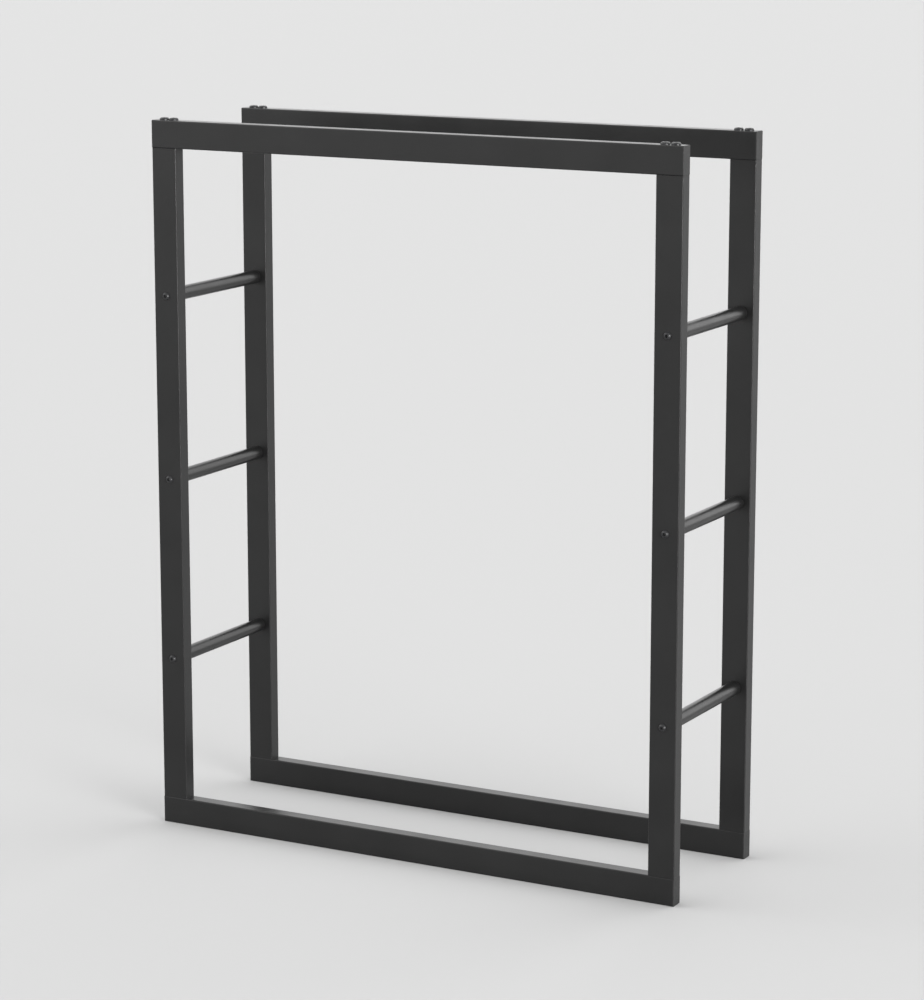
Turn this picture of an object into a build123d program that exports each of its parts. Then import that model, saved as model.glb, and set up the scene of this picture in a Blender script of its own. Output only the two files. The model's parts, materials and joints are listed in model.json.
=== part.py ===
"""Firewood log rack: a front and a rear frame of rectangular steel tube, tied by six round cross tubes.

Each frame has two posts between a bottom rail and a top rail. The rails run the full width, and the
posts stand between them, held by screws into a plate that is welded in each post end. The logs lie on
the two bottom rails, front to back, and the cross tubes stop them from rolling out at the sides.

Origin on the floor below the middle of the rack, +X to the right, +Y to the back, +Z up, millimetres.
"""

import os

from build123d import *

# ---- Driving dimensions ----
WIDTH = 800.0
DEPTH = 250.0
HEIGHT = 1000.0

# Rectangular tube of the frames, its wide side to the front
TUBE_FACE = 38.0
TUBE_DEPTH = 20.0
TUBE_WALL = 1.2
TUBE_CORNER = 1.5

# Round cross tubes between the front and rear posts
CROSS_TUBE_DIAMETER = 19.5
CROSS_TUBE_WALL = 1.2
CROSS_TUBE_HEIGHTS = {"lower": 242.0, "middle": 500.0, "upper": 758.0}

# Plastic caps in the rail ends
CAP_FLANGE = 2.0
CAP_EDGE_RADIUS = 0.4
CAP_PLUG_LENGTH = 6.5
CAP_PLUG_WALL = 1.6
CAP_PLUG_GAP = 0.1

# Threaded pieces inside the tubes
END_PLATE_THICKNESS = 4.0
INSERT_LENGTH = 12.0
INSERT_CHAMFER = 0.8

# M6 socket screws, with button heads, or wide heads where they stand on top of a rail
THREAD_DIAMETER = 6.0
SHANK_DIAMETER = 5.9
CLEARANCE_HOLE = 6.5
SHANK_TIP_CHAMFER = 0.7
SOCKET_ACROSS_FLATS = 4.0
SOCKET_DEPTH = 2.1
HEAD_HEIGHT = 3.3
BUTTON_HEAD = {"diameter": 10.5, "rim": 0.4, "land": 6.0}
WIDE_HEAD = {"diameter": 13.0, "rim": 1.3, "land": 8.0}
HEAD_BULGE = 0.35
TOP_SCREW_LENGTH = 45.0
BOTTOM_SCREW_LENGTH = 12.0
CROSS_TUBE_BOLT_LENGTH = 30.0

# Two screws through each rail end, and the openings below that let them be driven from underneath
SCREW_INSETS = [15.0, 30.0]
ACCESS_HOLE = 12.0

# Each screw stops at its own angle when it is tightened
SOCKET_TURN_STEP = 23.0

# ---- Places worked out from the driving dimensions ----
POST_LENGTH = HEIGHT - 2 * TUBE_FACE
POST_X = (WIDTH - TUBE_FACE) / 2
FRAME_Y = (DEPTH - TUBE_DEPTH) / 2
RAIL_LENGTH = WIDTH - 2 * CAP_FLANGE
CROSS_TUBE_LENGTH = DEPTH - 2 * TUBE_DEPTH
SCREW_X = [WIDTH / 2 - inset for inset in SCREW_INSETS]

SIDES = {"left": -1, "right": 1}
FRAMES = {"front": -1, "rear": 1}
RAIL_BASES = {"bottom": 0.0, "top": HEIGHT - TUBE_FACE}
PLATE_BASES = {"bottom": TUBE_FACE, "top": HEIGHT - TUBE_FACE - END_PLATE_THICKNESS}


def save(piece, node):
    """Label a finished sub-part and write it as its own STEP file."""
    piece.part.label = node
    export_step(piece.part, f"parts/{node}.step")


def tube_section(width, height):
    """Section of the rectangular tube, hollow, with rounded corners inside and out."""
    bore_corner = TUBE_CORNER - TUBE_WALL
    RectangleRounded(width, height, TUBE_CORNER)
    RectangleRounded(width - 2 * TUBE_WALL, height - 2 * TUBE_WALL, bore_corner, mode=Mode.SUBTRACT)


# ---- Posts ----
def make_post(x, y):
    """Upright tube between the rails, drilled front to back for the cross tube bolts."""
    with BuildPart() as post:
        with BuildSketch(Plane((x, y, TUBE_FACE))):
            tube_section(TUBE_FACE, TUBE_DEPTH)
        extrude(amount=POST_LENGTH)
        with Locations(*[Location((x, y, z), (90, 0, 0)) for z in CROSS_TUBE_HEIGHTS.values()]):
            Hole(radius=CLEARANCE_HOLE / 2)
    return post


def make_end_plate(x, y, base, side):
    """Steel plate welded in a post end, with the two threads that the rail screws go into."""
    with BuildPart() as plate:
        with BuildSketch(Plane((x, y, base))):
            RectangleRounded(
                TUBE_FACE - 2 * TUBE_WALL, TUBE_DEPTH - 2 * TUBE_WALL, TUBE_CORNER - TUBE_WALL
            )
            with Locations(*[(side * screw_x - x, 0) for screw_x in SCREW_X]):
                Circle(THREAD_DIAMETER / 2, mode=Mode.SUBTRACT)
        extrude(amount=END_PLATE_THICKNESS)
    return plate


# ---- Rails ----
def make_rail(y, base, from_below):
    """Full-width tube. Screws pass right through it, or seat inside it and are driven from below."""
    centre = base + TUBE_FACE / 2
    with BuildPart() as rail:
        with BuildSketch(Plane((-RAIL_LENGTH / 2, y, centre), x_dir=(0, 1, 0), z_dir=(1, 0, 0))):
            tube_section(TUBE_DEPTH, TUBE_FACE)
        extrude(amount=RAIL_LENGTH)
        screw_places = [side * x for side in SIDES.values() for x in SCREW_X]
        if from_below:
            with Locations(*[Location((x, y, base), (180, 0, 0)) for x in screw_places]):
                CounterBoreHole(
                    radius=CLEARANCE_HOLE / 2,
                    counter_bore_radius=ACCESS_HOLE / 2,
                    counter_bore_depth=TUBE_FACE / 2,
                )
        else:
            with Locations(*[(x, y, base) for x in screw_places]):
                Hole(radius=CLEARANCE_HOLE / 2)
    return rail


def make_rail_cap(y, base, side):
    """Moulded cap that closes a rail end: a flange flush with the tube and a hollow plug inside it."""
    centre = base + TUBE_FACE / 2
    tube_end = Plane((side * RAIL_LENGTH / 2, y, centre), x_dir=(0, side, 0), z_dir=(side, 0, 0))
    plug_depth = TUBE_DEPTH - 2 * (TUBE_WALL + CAP_PLUG_GAP)
    plug_face = TUBE_FACE - 2 * (TUBE_WALL + CAP_PLUG_GAP)
    with BuildPart() as cap:
        with BuildSketch(tube_end):
            RectangleRounded(TUBE_DEPTH, TUBE_FACE, TUBE_CORNER)
        extrude(amount=CAP_FLANGE)
        outer_face = cap.faces().filter_by(Axis.X).sort_by(Axis.X)[-1 if side > 0 else 0]
        fillet(outer_face.edges(), CAP_EDGE_RADIUS)
        with BuildSketch(tube_end):
            RectangleRounded(plug_depth, plug_face, TUBE_CORNER - TUBE_WALL)
            Rectangle(plug_depth - 2 * CAP_PLUG_WALL, plug_face - 2 * CAP_PLUG_WALL, mode=Mode.SUBTRACT)
        extrude(amount=-CAP_PLUG_LENGTH)
    return cap


# ---- Cross tubes ----
def make_cross_tube(x, z):
    """Round tube from the front post to the rear post."""
    front_end = Plane((x, -CROSS_TUBE_LENGTH / 2, z), x_dir=(1, 0, 0), z_dir=(0, 1, 0))
    with BuildPart() as tube:
        with BuildSketch(front_end):
            Circle(CROSS_TUBE_DIAMETER / 2)
            Circle(CROSS_TUBE_DIAMETER / 2 - CROSS_TUBE_WALL, mode=Mode.SUBTRACT)
        extrude(amount=CROSS_TUBE_LENGTH)
    return tube


def make_insert(x, z, end):
    """Threaded steel plug pressed into one end of a cross tube, level with the tube's end."""
    mouth = Plane((x, end * CROSS_TUBE_LENGTH / 2, z), x_dir=(1, 0, 0), z_dir=(0, -end, 0))
    with BuildPart() as insert:
        with BuildSketch(mouth):
            Circle(CROSS_TUBE_DIAMETER / 2 - CROSS_TUBE_WALL)
            Circle(THREAD_DIAMETER / 2, mode=Mode.SUBTRACT)
        extrude(amount=INSERT_LENGTH)
        bore_edges = insert.edges().filter_by(GeomType.CIRCLE).group_by(SortBy.RADIUS)[0]
        chamfer(bore_edges, INSERT_CHAMFER)
    return insert


# ---- Screws ----
def make_screw(length, diameter, rim, land):
    """M6 socket screw on the Z axis: its head stands on Z = 0 and its shank hangs below.

    The head has an upright rim, then a bulging arc up to the flat land round its socket.
    """
    side = (diameter / 2, rim)
    top = (land / 2, HEAD_HEIGHT)
    bulge = ((side[0] + top[0]) / 2 + HEAD_BULGE, (side[1] + top[1]) / 2 + HEAD_BULGE)
    with BuildPart() as screw:
        with BuildSketch(Plane.XZ):
            with BuildLine():
                Polyline(top, (0, HEAD_HEIGHT), (0, 0), (side[0], 0), side)
                ThreePointArc(side, bulge, top)
            make_face()
        revolve(axis=Axis.Z)
        with BuildSketch(Plane.XY):
            Circle(SHANK_DIAMETER / 2)
        extrude(amount=-length)
        chamfer(screw.edges().sort_by(Axis.Z)[0], SHANK_TIP_CHAMFER)
        with BuildSketch(Plane.XY.offset(HEAD_HEIGHT)):
            RegularPolygon(SOCKET_ACROSS_FLATS / 2, side_count=6, major_radius=False)
        extrude(amount=-SOCKET_DEPTH, mode=Mode.SUBTRACT)
    return screw


def save_screws(node, screw, seats):
    """Write one node that holds a separate screw in each seat, a plane whose normal points out."""
    with BuildPart() as group:
        for index, seat in enumerate(seats):
            with Locations(seat.location * Rotation(0, 0, index * SOCKET_TURN_STEP)):
                add(screw.part)
    save(group, node)


def rail_screw_seats(y, z, facing):
    """Seats of the screws at both ends of a rail, facing up (1) or down (-1)."""
    return [
        Plane((side * x, y, z), x_dir=(1, 0, 0), z_dir=(0, 0, facing))
        for side in SIDES.values()
        for x in SCREW_X
    ]


def cross_tube_bolt_seats(facing):
    """Seats of the bolts on the outer faces of both posts of the front (-1) or rear (1) frame."""
    return [
        Plane((side * POST_X, facing * DEPTH / 2, z), x_dir=(1, 0, 0), z_dir=(0, facing, 0))
        for side in SIDES.values()
        for z in CROSS_TUBE_HEIGHTS.values()
    ]


# ---- Write every sub-part ----
os.makedirs("parts", exist_ok=True)

top_screw = make_screw(TOP_SCREW_LENGTH, **WIDE_HEAD)
bottom_screw = make_screw(BOTTOM_SCREW_LENGTH, **BUTTON_HEAD)
cross_tube_bolt = make_screw(CROSS_TUBE_BOLT_LENGTH, **BUTTON_HEAD)

for frame, frame_side in FRAMES.items():
    frame_y = frame_side * FRAME_Y
    for height, base in RAIL_BASES.items():
        save(make_rail(frame_y, base, from_below=height == "bottom"), f"{frame}_{height}_rail")
        for hand, side in SIDES.items():
            save(make_rail_cap(frame_y, base, side), f"{frame}_{height}_rail_{hand}_cap")
    for hand, side in SIDES.items():
        post_x = side * POST_X
        save(make_post(post_x, frame_y), f"{frame}_{hand}_post")
        for height, plate_base in PLATE_BASES.items():
            plate = make_end_plate(post_x, frame_y, plate_base, side)
            save(plate, f"{frame}_{hand}_post_{height}_plate")
    save_screws(f"{frame}_top_rail_screws", top_screw, rail_screw_seats(frame_y, HEIGHT, 1))
    bottom_seats = rail_screw_seats(frame_y, TUBE_FACE - TUBE_WALL, -1)
    save_screws(f"{frame}_bottom_rail_screws", bottom_screw, bottom_seats)
    save_screws(f"{frame}_cross_tube_bolts", cross_tube_bolt, cross_tube_bolt_seats(frame_side))

for hand, side in SIDES.items():
    for height, z in CROSS_TUBE_HEIGHTS.items():
        tube_name = f"{hand}_{height}_cross_tube"
        save(make_cross_tube(side * POST_X, z), tube_name)
        for frame, end in FRAMES.items():
            save(make_insert(side * POST_X, z, end), f"{tube_name}_{frame}_insert")
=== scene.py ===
"""Looks of the firewood log rack: powder-coated tubes, moulded caps and black screws in a pale studio.

The CAD nodes already have their true shapes, so they stay, and each gets a procedural material here.
Everything is in metres: +X right, +Y back, +Z up, with the origin on the floor below the rack's middle.
"""
import json
import math

import bpy
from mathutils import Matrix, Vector


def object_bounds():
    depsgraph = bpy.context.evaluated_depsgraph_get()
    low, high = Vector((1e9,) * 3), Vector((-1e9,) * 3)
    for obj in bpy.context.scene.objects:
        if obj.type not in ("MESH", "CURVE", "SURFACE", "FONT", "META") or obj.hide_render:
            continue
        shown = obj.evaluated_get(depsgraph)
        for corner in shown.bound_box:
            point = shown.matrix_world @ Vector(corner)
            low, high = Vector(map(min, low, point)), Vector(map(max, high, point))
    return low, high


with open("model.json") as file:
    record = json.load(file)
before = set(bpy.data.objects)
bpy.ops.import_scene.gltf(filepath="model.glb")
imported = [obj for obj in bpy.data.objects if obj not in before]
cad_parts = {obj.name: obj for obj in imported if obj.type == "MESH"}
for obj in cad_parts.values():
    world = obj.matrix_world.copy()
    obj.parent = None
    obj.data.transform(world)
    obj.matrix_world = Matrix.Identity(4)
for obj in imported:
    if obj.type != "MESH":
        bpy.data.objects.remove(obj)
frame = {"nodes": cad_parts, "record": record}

CAD_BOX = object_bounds()

MM = 0.001

# Camera: a long lens, a little above the top rail, to the right of the front frame
CAMERA_AZIMUTH = 28.46
CAMERA_ELEVATION = 11.58
CAMERA_DISTANCE = 4.47
CAMERA_LENS = 117.0
CAMERA_AIM_RIGHT = 0.014
CAMERA_AIM_UP = -0.016

# Studio: a dim white surround with broad glows, each a direction, its radiance and its tightness
SURROUND = 0.4
GLOWS = (
    {"azimuth": -40, "elevation": 5, "radiance": 3.0, "tightness": 10},
    {"azimuth": -80, "elevation": 35, "radiance": 4.5, "tightness": 14},
    {"azimuth": 64, "elevation": 0, "radiance": 70.0, "tightness": 40},
    {"azimuth": 150, "elevation": 48, "radiance": 1.8, "tightness": 6},
    {"azimuth": 150, "elevation": 8, "radiance": 1.7, "tightness": 10},
    {"azimuth": 210, "elevation": 12, "radiance": 1.1, "tightness": 8},
    {"azimuth": 0, "elevation": 85, "radiance": 0.8, "tightness": 8},
)
FLOOR_SIZE = 120.0
FLOOR_COLOUR = (0.43, 0.43, 0.43, 1)
FLOOR_ROUGHNESS = 0.9
FLOOR_SPECULAR = 0.1

# The middle range of a noise, which is stretched over a whole span of colour or roughness
NOISE_LOW = 0.3
NOISE_HIGH = 0.7

# Black finishes reflect less than the shader's default of 0.5
BLACK_SPECULAR = 0.3

# Powder coat. Noise scales here and below are in features per metre, and bump depths in metres
COAT_DARK = (0.007, 0.007, 0.007)
COAT_LIGHT = (0.0095, 0.0095, 0.0095)
FRAME_ROUGHNESS = (0.28, 0.36)
CROSS_TUBE_ROUGHNESS = (0.26, 0.34)
COAT_TONE = {"scale": 9.0, "detail": 4.0}
COAT_GLOSS = {"scale": 23.0, "detail": 5.0, "roughness": 0.6}
ORANGE_PEEL = {"scale": 380.0, "detail": 1.0}
ORANGE_PEEL_DEPTH = 0.06 * MM
COAT_GRAIN = {"scale": 1800.0, "detail": 2.0}
COAT_GRAIN_DEPTH = 0.045 * MM

# Moulded plastic of the rail caps
PLASTIC_DARK = (0.009, 0.009, 0.009)
PLASTIC_LIGHT = (0.014, 0.014, 0.014)
PLASTIC_ROUGHNESS = (0.42, 0.52)
PLASTIC_TONE = {"scale": 60.0, "detail": 3.0}
PLASTIC_GLOSS = {"scale": 300.0}
PLASTIC_GRAIN = {"scale": 2600.0, "detail": 3.0}
PLASTIC_GRAIN_DEPTH = 0.03 * MM
PLASTIC_GRAIN_STRENGTH = 0.5

# Black coated steel of the screws
SCREW_DARK = (0.01, 0.01, 0.011)
SCREW_LIGHT = (0.022, 0.022, 0.023)
SCREW_ROUGHNESS = (0.3, 0.42)
SCREW_TONE = {"scale": 180.0, "detail": 3.0}
SCREW_GLOSS = {"scale": 700.0}
SCREW_GRAIN = {"scale": 3000.0, "detail": 2.0}
SCREW_GRAIN_DEPTH = 0.01 * MM
SCREW_GRAIN_STRENGTH = 0.5

# Zinc-plated steel of the hidden plates and inserts
ZINC_DARK = (0.42, 0.43, 0.45)
ZINC_LIGHT = (0.6, 0.61, 0.62)
ZINC_ROUGHNESS = (0.28, 0.45)
ZINC_TONE = {"scale": 150.0, "detail": 4.0}
ZINC_GLOSS = {"scale": 500.0}


# ---- Node helpers ----
def new_material(name):
    """An empty node material, its node tree, and the shader that feeds its output."""
    material = bpy.data.materials.new(name)
    material.use_nodes = True
    tree = material.node_tree
    tree.nodes.clear()
    output = tree.nodes.new("ShaderNodeOutputMaterial")
    shader = tree.nodes.new("ShaderNodeBsdfPrincipled")
    tree.links.new(shader.outputs["BSDF"], output.inputs["Surface"])
    return material, tree, shader


def noise(tree, scale, detail=2.0, roughness=0.5):
    """Noise in the object's own metres: scale is features per metre."""
    place = tree.nodes.new("ShaderNodeTexCoord")
    texture = tree.nodes.new("ShaderNodeTexNoise")
    texture.inputs["Scale"].default_value = scale
    texture.inputs["Detail"].default_value = detail
    texture.inputs["Roughness"].default_value = roughness
    tree.links.new(place.outputs["Object"], texture.inputs["Vector"])
    return texture.outputs["Fac"]


def remap(tree, value, low, high):
    """The middle range of a noise value, stretched to run from low to high."""
    mapping = tree.nodes.new("ShaderNodeMapRange")
    mapping.inputs["From Min"].default_value = NOISE_LOW
    mapping.inputs["From Max"].default_value = NOISE_HIGH
    mapping.inputs["To Min"].default_value = low
    mapping.inputs["To Max"].default_value = high
    tree.links.new(value, mapping.inputs["Value"])
    return mapping.outputs["Result"]


def colour_between(tree, value, first, second):
    """A colour that runs from first to second as value runs through a noise's middle range."""
    ramp = tree.nodes.new("ShaderNodeValToRGB")
    ramp.color_ramp.elements[0].position = NOISE_LOW
    ramp.color_ramp.elements[0].color = (*first, 1)
    ramp.color_ramp.elements[1].position = NOISE_HIGH
    ramp.color_ramp.elements[1].color = (*second, 1)
    tree.links.new(value, ramp.inputs["Fac"])
    return ramp.outputs["Color"]


def bump(tree, height, depth, strength=1.0, base=None):
    """Bump of the given depth in metres, on top of another bump if there is one."""
    node = tree.nodes.new("ShaderNodeBump")
    node.inputs["Strength"].default_value = strength
    node.inputs["Distance"].default_value = depth
    tree.links.new(height, node.inputs["Height"])
    if base is not None:
        tree.links.new(base, node.inputs["Normal"])
    return node.outputs["Normal"]


def math_node(tree, operation, first, second=None):
    """One sum in a node tree, where each operand is a socket or a number."""
    node = tree.nodes.new("ShaderNodeMath")
    node.operation = operation
    for socket, value in zip(node.inputs, (first, second)):
        if isinstance(value, bpy.types.NodeSocket):
            tree.links.new(value, socket)
        elif value is not None:
            socket.default_value = value
    return node.outputs["Value"]


# ---- Materials ----
def powder_coat(name, roughness):
    """Satin black powder coat: faint orange peel, fine grain, and slow changes in tone and gloss."""
    material, tree, shader = new_material(name)
    tone = noise(tree, **COAT_TONE)
    tree.links.new(colour_between(tree, tone, COAT_DARK, COAT_LIGHT), shader.inputs["Base Color"])
    gloss = noise(tree, **COAT_GLOSS)
    tree.links.new(remap(tree, gloss, *roughness), shader.inputs["Roughness"])
    orange_peel = bump(tree, noise(tree, **ORANGE_PEEL), ORANGE_PEEL_DEPTH)
    grain = bump(tree, noise(tree, **COAT_GRAIN), COAT_GRAIN_DEPTH, base=orange_peel)
    tree.links.new(grain, shader.inputs["Normal"])
    shader.inputs["Specular IOR Level"].default_value = BLACK_SPECULAR
    return material


def moulded_plastic(name):
    """Matt black plastic with a fine spark-eroded grain."""
    material, tree, shader = new_material(name)
    tone = noise(tree, **PLASTIC_TONE)
    tree.links.new(colour_between(tree, tone, PLASTIC_DARK, PLASTIC_LIGHT), shader.inputs["Base Color"])
    gloss = noise(tree, **PLASTIC_GLOSS)
    tree.links.new(remap(tree, gloss, *PLASTIC_ROUGHNESS), shader.inputs["Roughness"])
    grain = bump(tree, noise(tree, **PLASTIC_GRAIN), PLASTIC_GRAIN_DEPTH, PLASTIC_GRAIN_STRENGTH)
    tree.links.new(grain, shader.inputs["Normal"])
    shader.inputs["Specular IOR Level"].default_value = BLACK_SPECULAR
    return material


def black_screw_steel(name):
    """Black coated screw steel, a little lighter in tone than the tubes."""
    material, tree, shader = new_material(name)
    tone = noise(tree, **SCREW_TONE)
    tree.links.new(colour_between(tree, tone, SCREW_DARK, SCREW_LIGHT), shader.inputs["Base Color"])
    gloss = noise(tree, **SCREW_GLOSS)
    tree.links.new(remap(tree, gloss, *SCREW_ROUGHNESS), shader.inputs["Roughness"])
    shader.inputs["Specular IOR Level"].default_value = BLACK_SPECULAR
    grain = bump(tree, noise(tree, **SCREW_GRAIN), SCREW_GRAIN_DEPTH, SCREW_GRAIN_STRENGTH)
    tree.links.new(grain, shader.inputs["Normal"])
    return material


def zinc_steel(name):
    """Zinc-plated steel of the hidden plates and inserts."""
    material, tree, shader = new_material(name)
    tone = noise(tree, **ZINC_TONE)
    tree.links.new(colour_between(tree, tone, ZINC_DARK, ZINC_LIGHT), shader.inputs["Base Color"])
    gloss = noise(tree, **ZINC_GLOSS)
    tree.links.new(remap(tree, gloss, *ZINC_ROUGHNESS), shader.inputs["Roughness"])
    shader.inputs["Metallic"].default_value = 1.0
    return material


MATERIALS = {
    "frame_tube": powder_coat("black_powder_coat", FRAME_ROUGHNESS),
    "cross_tube": powder_coat("black_powder_coat_round", CROSS_TUBE_ROUGHNESS),
    "rail_cap": moulded_plastic("matt_black_cap"),
    "black_screw": black_screw_steel("black_screw_steel"),
    "inner_steel": zinc_steel("zinc_plated_steel"),
}


def dress_nodes():
    """Give every CAD node the material of its slot."""
    for subpart in frame["record"]["subparts"]:
        node = frame["nodes"][subpart["node"]]
        for slot in node.material_slots:
            slot.material = MATERIALS[subpart["material_slot"]]


# ---- Studio ----
def direction(azimuth, elevation):
    """Unit vector from the rack: azimuth 0 is straight in front, and positive is to the right."""
    turn = math.radians(azimuth)
    tilt = math.radians(elevation)
    return Vector((math.sin(turn) * math.cos(tilt), -math.cos(turn) * math.cos(tilt), math.sin(tilt)))


def make_floor():
    """A plain pale floor that reaches past the camera's view."""
    mesh = bpy.data.meshes.new("studio_floor")
    half = FLOOR_SIZE / 2
    corners = [(-half, -half, 0), (half, -half, 0), (half, half, 0), (-half, half, 0)]
    mesh.from_pydata(corners, [], [(0, 1, 2, 3)])
    floor = bpy.data.objects.new("studio_floor", mesh)
    bpy.context.scene.collection.objects.link(floor)
    material, tree, shader = new_material("pale_floor")
    shader.inputs["Base Color"].default_value = FLOOR_COLOUR
    shader.inputs["Roughness"].default_value = FLOOR_ROUGHNESS
    shader.inputs["Specular IOR Level"].default_value = FLOOR_SPECULAR
    mesh.materials.append(material)


def glow_strength(tree, azimuth, elevation, radiance, tightness):
    """Radiance that peaks in one direction and fades smoothly away from it."""
    place = tree.nodes.new("ShaderNodeTexCoord")
    cosine = tree.nodes.new("ShaderNodeVectorMath")
    cosine.operation = "DOT_PRODUCT"
    cosine.inputs[1].default_value = direction(azimuth, elevation)
    tree.links.new(place.outputs["Generated"], cosine.inputs[0])
    falloff = math_node(tree, "SUBTRACT", cosine.outputs["Value"], 1.0)
    falloff = math_node(tree, "MULTIPLY", falloff, tightness)
    falloff = math_node(tree, "EXPONENT", falloff)
    return math_node(tree, "MULTIPLY", falloff, radiance)


def make_world():
    """White light from all round, stronger in a few soft glows."""
    world = bpy.data.worlds.new("studio_white")
    world.use_nodes = True
    tree = world.node_tree
    background = tree.nodes["Background"]
    background.inputs["Color"].default_value = (1, 1, 1, 1)
    total = SURROUND
    for glow in GLOWS:
        total = math_node(tree, "ADD", glow_strength(tree, **glow), total)
    tree.links.new(total, background.inputs["Strength"])
    bpy.context.scene.world = world


def make_camera():
    """The scene's camera, which stands off from the rack's middle and looks back at it."""
    data = bpy.data.cameras.new("camera")
    data.lens = CAMERA_LENS
    data.clip_end = FLOOR_SIZE
    camera = bpy.data.objects.new("camera", data)
    bpy.context.scene.collection.objects.link(camera)
    away = direction(CAMERA_AZIMUTH, CAMERA_ELEVATION)
    right = away.cross(Vector((0, 0, -1))).normalized()
    up = away.cross(right)
    middle = (CAD_BOX[0] + CAD_BOX[1]) / 2
    aim = middle + right * CAMERA_AIM_RIGHT + up * CAMERA_AIM_UP
    camera.location = aim + away * CAMERA_DISTANCE
    camera.rotation_euler = (-away).to_track_quat("-Z", "Y").to_euler()
    bpy.context.scene.camera = camera


make_camera()
make_world()
make_floor()
dress_nodes()
bpy.context.scene.view_settings.view_transform = "Standard"
